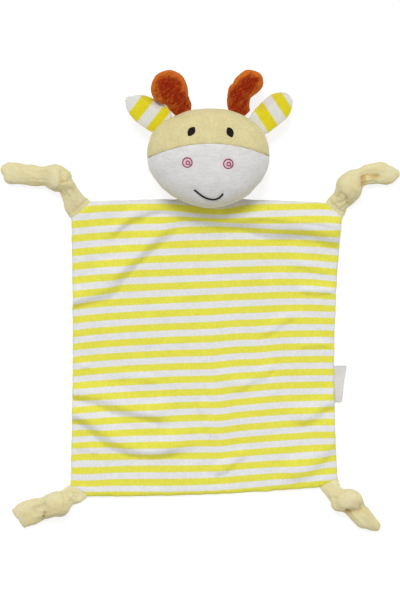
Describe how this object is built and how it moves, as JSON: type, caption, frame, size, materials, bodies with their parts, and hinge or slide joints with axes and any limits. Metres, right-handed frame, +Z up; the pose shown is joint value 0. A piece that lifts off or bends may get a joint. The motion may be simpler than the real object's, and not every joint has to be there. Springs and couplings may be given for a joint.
{
  "type": "teething blanket",
  "caption": "Baby's comfort blanket of striped velour with a stuffed calf's head at its top edge and a knotted cloth limb to chew at each corner.",
  "frame": {"origin": "on the surface that the toy lies on, under the middle of the whole toy", "axes": "+X to the right of the face as it is seen, +Y towards the horns, +Z up out of the face"},
  "size_m": [0.3582, 0.4162, 0.0563],
  "materials": {
    "velour_striped": "short pile, yellow and white stripes",
    "velour_white": "short pile",
    "velour_cream": "short pile",
    "velour_rust": "short pile",
    "fibre_fill": "loose fibre",
    "thread_black": "embroidery, slight sheen",
    "thread_pink": "embroidery, slight sheen",
    "label_satin": "woven satin ribbon"
  },
  "bodies": {
    "blanket": {"front_panel": "velour_striped", "back_panel": "velour_striped", "edge_seam": "velour_white", "neck_seam": "velour_cream"},
    "head": {"head_forehead_panel": "velour_cream", "head_muzzle_panel": "velour_white", "head_back_panel": "velour_cream", "head_stuffing": "fibre_fill", "eye_left": "thread_black", "eye_right": "thread_black", "nostril_left": "thread_pink", "nostril_right": "thread_pink", "mouth": "thread_black"},
    "horn_left": {"horn_left_cover": "velour_rust", "horn_left_stuffing": "fibre_fill"},
    "horn_right": {"horn_right_cover": "velour_rust", "horn_right_stuffing": "fibre_fill"},
    "ear_left": {"ear_left_front": "velour_striped", "ear_left_back": "velour_cream"},
    "ear_right": {"ear_right_front": "velour_striped", "ear_right_back": "velour_cream"},
    "arm_left": {"arm_left_sleeve": "velour_cream", "arm_left_knot": "velour_cream"},
    "arm_left_end": {"arm_left_end": "velour_cream"},
    "arm_right": {"arm_right_sleeve": "velour_cream", "arm_right_knot": "velour_cream"},
    "arm_right_end": {"arm_right_end": "velour_cream"},
    "leg_left": {"leg_left_sleeve": "velour_cream", "leg_left_knot": "velour_cream"},
    "leg_left_end": {"leg_left_end": "velour_cream"},
    "leg_right": {"leg_right_sleeve": "velour_cream", "leg_right_knot": "velour_cream"},
    "leg_right_end": {"leg_right_end": "velour_cream"},
    "label": {"label": "label_satin"}
  },
  "joints": [
    {"name": "head_nod", "type": "hinge", "parent": "blanket", "child": "head", "pos_m": [0.0078, 0.08948, 0.0082], "axis": [1, 0, 0], "range_deg": [0, 60]},
    {"name": "horn_left_bend", "type": "hinge", "parent": "head", "child": "horn_left", "pos_m": [-0.01577, 0.17212, 0.024], "axis": [0.9361, 0.3518, 0], "range_deg": [-20, 20], "stiffness_Nm_per_rad": 0.05},
    {"name": "horn_right_bend", "type": "hinge", "parent": "head", "child": "horn_right", "pos_m": [0.03587, 0.172, 0.024], "axis": [0.9668, -0.2554, 0], "range_deg": [-20, 20], "stiffness_Nm_per_rad": 0.05},
    {"name": "ear_left_fold", "type": "hinge", "parent": "head", "child": "ear_left", "pos_m": [-0.03707, 0.16099, 0.024], "axis": [0.6115, 0.7912, 0], "range_deg": [-30, 45], "stiffness_Nm_per_rad": 0.01},
    {"name": "ear_right_fold", "type": "hinge", "parent": "head", "child": "ear_right", "pos_m": [0.05456, 0.15829, 0.024], "axis": [0.6225, -0.7826, 0], "range_deg": [-30, 45], "stiffness_Nm_per_rad": 0.01},
    {"name": "arm_left_fold", "type": "hinge", "parent": "blanket", "child": "arm_left", "pos_m": [-0.10876, 0.08289, 0.0025], "axis": [0.7466, 0.6652, 0], "range_deg": [0, 90]},
    {"name": "arm_left_end_bend", "type": "hinge", "parent": "arm_left", "child": "arm_left_end", "pos_m": [-0.12832, 0.10822, 0.0103], "axis": [0.1374, 0.9905, 0], "range_deg": [0, 60]},
    {"name": "arm_right_fold", "type": "hinge", "parent": "blanket", "child": "arm_right", "pos_m": [0.12255, 0.08281, 0.0025], "axis": [0.7193, -0.6947, 0], "range_deg": [0, 90]},
    {"name": "arm_right_end_bend", "type": "hinge", "parent": "arm_right", "child": "arm_right_end", "pos_m": [0.13536, 0.10269, 0.0108], "axis": [0.247, -0.969, 0], "range_deg": [0, 60]},
    {"name": "leg_left_fold", "type": "hinge", "parent": "blanket", "child": "leg_left", "pos_m": [-0.11034, -0.1744, 0.0025], "axis": [-0.8572, 0.515, 0], "range_deg": [0, 90]},
    {"name": "leg_left_end_bend", "type": "hinge", "parent": "leg_left", "child": "leg_left_end", "pos_m": [-0.12877, -0.18338, 0.0105], "axis": [-0.4019, 0.9157, 0], "range_deg": [0, 60]},
    {"name": "leg_right_fold", "type": "hinge", "parent": "blanket", "child": "leg_right", "pos_m": [0.11685, -0.16681, 0.0025], "axis": [-0.8957, -0.4446, 0], "range_deg": [0, 90]},
    {"name": "leg_right_end_bend", "type": "hinge", "parent": "leg_right", "child": "leg_right_end", "pos_m": [0.13179, -0.18049, 0.0103], "axis": [-0.6293, -0.7771, 0], "range_deg": [0, 60]},
    {"name": "label_fold", "type": "hinge", "parent": "blanket", "child": "label", "pos_m": [0.12137, -0.0755, 0.0025], "axis": [0.0065, -1, 0], "range_deg": [0, 80]}
  ]
}
